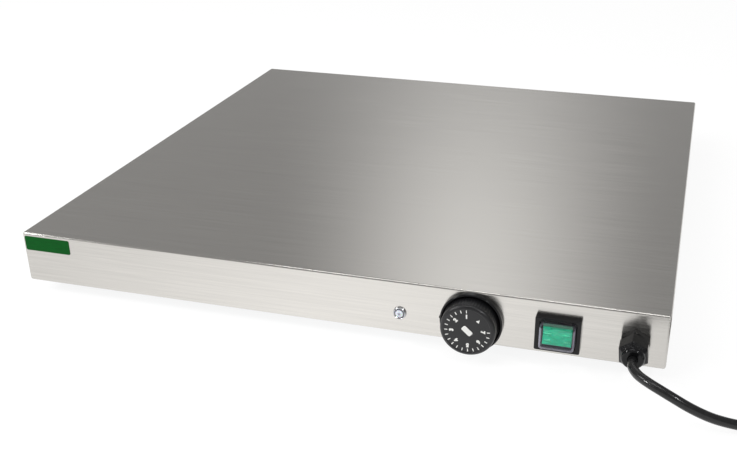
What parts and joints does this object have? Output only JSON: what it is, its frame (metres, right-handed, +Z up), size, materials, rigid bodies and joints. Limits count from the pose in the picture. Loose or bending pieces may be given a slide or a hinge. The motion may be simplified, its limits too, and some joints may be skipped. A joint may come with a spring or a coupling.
{
  "type": "electric food warmer tray",
  "caption": "Flat square stainless warming plate with a skirt, a thermostat dial, a covered rocker switch, a pilot lamp and a cord gland on its front.",
  "frame": {"origin": "on the worktop, under the middle of the box of the tray without its cord, coil and plug", "axes": "+Z is up, the front skirt with its controls faces -Y, +X runs to the right along the front"},
  "size_m": [0.8012, 0.6709, 0.064],
  "materials": {
    "brushed_stainless": "brushed from left to right",
    "galvanised_sheet": "matt galvanised",
    "aluminium_sheet": "mill",
    "element_sheath": "heat darkened",
    "mineral_fibre": "matt",
    "black_moulding": "satin",
    "white_moulding": "satin",
    "green_rocker": "gloss, lit from inside when on",
    "clear_cover": "clear, soft",
    "chrome_rim": "polished",
    "lamp_lens": "translucent",
    "black_rubber": "matt",
    "brass": "bright",
    "zinc_plated": "zinc plated",
    "copper_capillary": "drawn copper",
    "brown_lead": "insulation",
    "blue_lead": "insulation",
    "earth_lead": "insulation"
  },
  "bodies": {
    "tray": {"casing": "brushed_stainless", "base_plate": "galvanised_sheet", "foot_1": "black_rubber", "foot_2": "black_rubber", "foot_3": "black_rubber", "foot_4": "black_rubber", "base_screw_1": "zinc_plated", "base_screw_2": "zinc_plated", "base_screw_3": "zinc_plated", "base_screw_4": "zinc_plated", "heat_spreader": "aluminium_sheet", "heating_element": "element_sheath", "element_clamp_1": "zinc_plated", "element_clamp_2": "zinc_plated", "element_clamp_3": "zinc_plated", "insulation_mat": "mineral_fibre", "thermostat_body": "black_moulding", "thermostat_screw_1": "zinc_plated", "thermostat_screw_2": "zinc_plated", "thermostat_capillary": "copper_capillary", "thermostat_bulb": "brass", "bulb_clip": "zinc_plated", "dial_bezel": "black_moulding", "switch_body": "black_moulding", "switch_frame": "black_moulding", "switch_cover": "clear_cover", "switch_tab_1": "brass", "switch_tab_2": "brass", "switch_tab_3": "brass", "switch_tab_4": "brass", "lamp_bezel": "chrome_rim", "lamp_lens": "lamp_lens", "lamp_nut": "zinc_plated", "gland_body": "black_moulding", "gland_nut": "black_moulding", "gland_seal": "black_rubber", "gland_locknut": "black_moulding", "terminal_block": "white_moulding", "earth_stud": "brass", "supply_cable_end": "black_rubber", "supply_live_lead": "brown_lead", "supply_neutral_lead": "blue_lead", "earth_lead": "earth_lead", "switch_live_lead": "brown_lead", "switch_neutral_lead": "blue_lead", "thermostat_lead": "brown_lead", "element_live_lead": "brown_lead", "element_neutral_lead": "blue_lead", "lamp_live_lead": "brown_lead", "lamp_neutral_lead": "blue_lead", "cord": "black_rubber", "cord_coil": "black_rubber", "cord_tie": "black_moulding", "plug_body": "black_moulding", "plug_pin_1": "brass", "plug_pin_2": "brass"},
    "dial": {"dial_knob": "black_moulding", "knob_marker": "white_moulding", "thermostat_spindle": "zinc_plated"},
    "rocker": {"switch_rocker": "green_rocker"}
  },
  "joints": [
    {"name": "dial_turn", "type": "hinge", "parent": "tray", "child": "dial", "pos_m": [0.1363, -0.28625, 0.0355], "axis": [0, 1, 0], "range_deg": [-135, 180]},
    {"name": "rocker_tip", "type": "hinge", "parent": "tray", "child": "rocker", "pos_m": [0.2102, -0.28625, 0.0355], "axis": [1, 0, 0], "range_deg": [0, 16]}
  ]
}
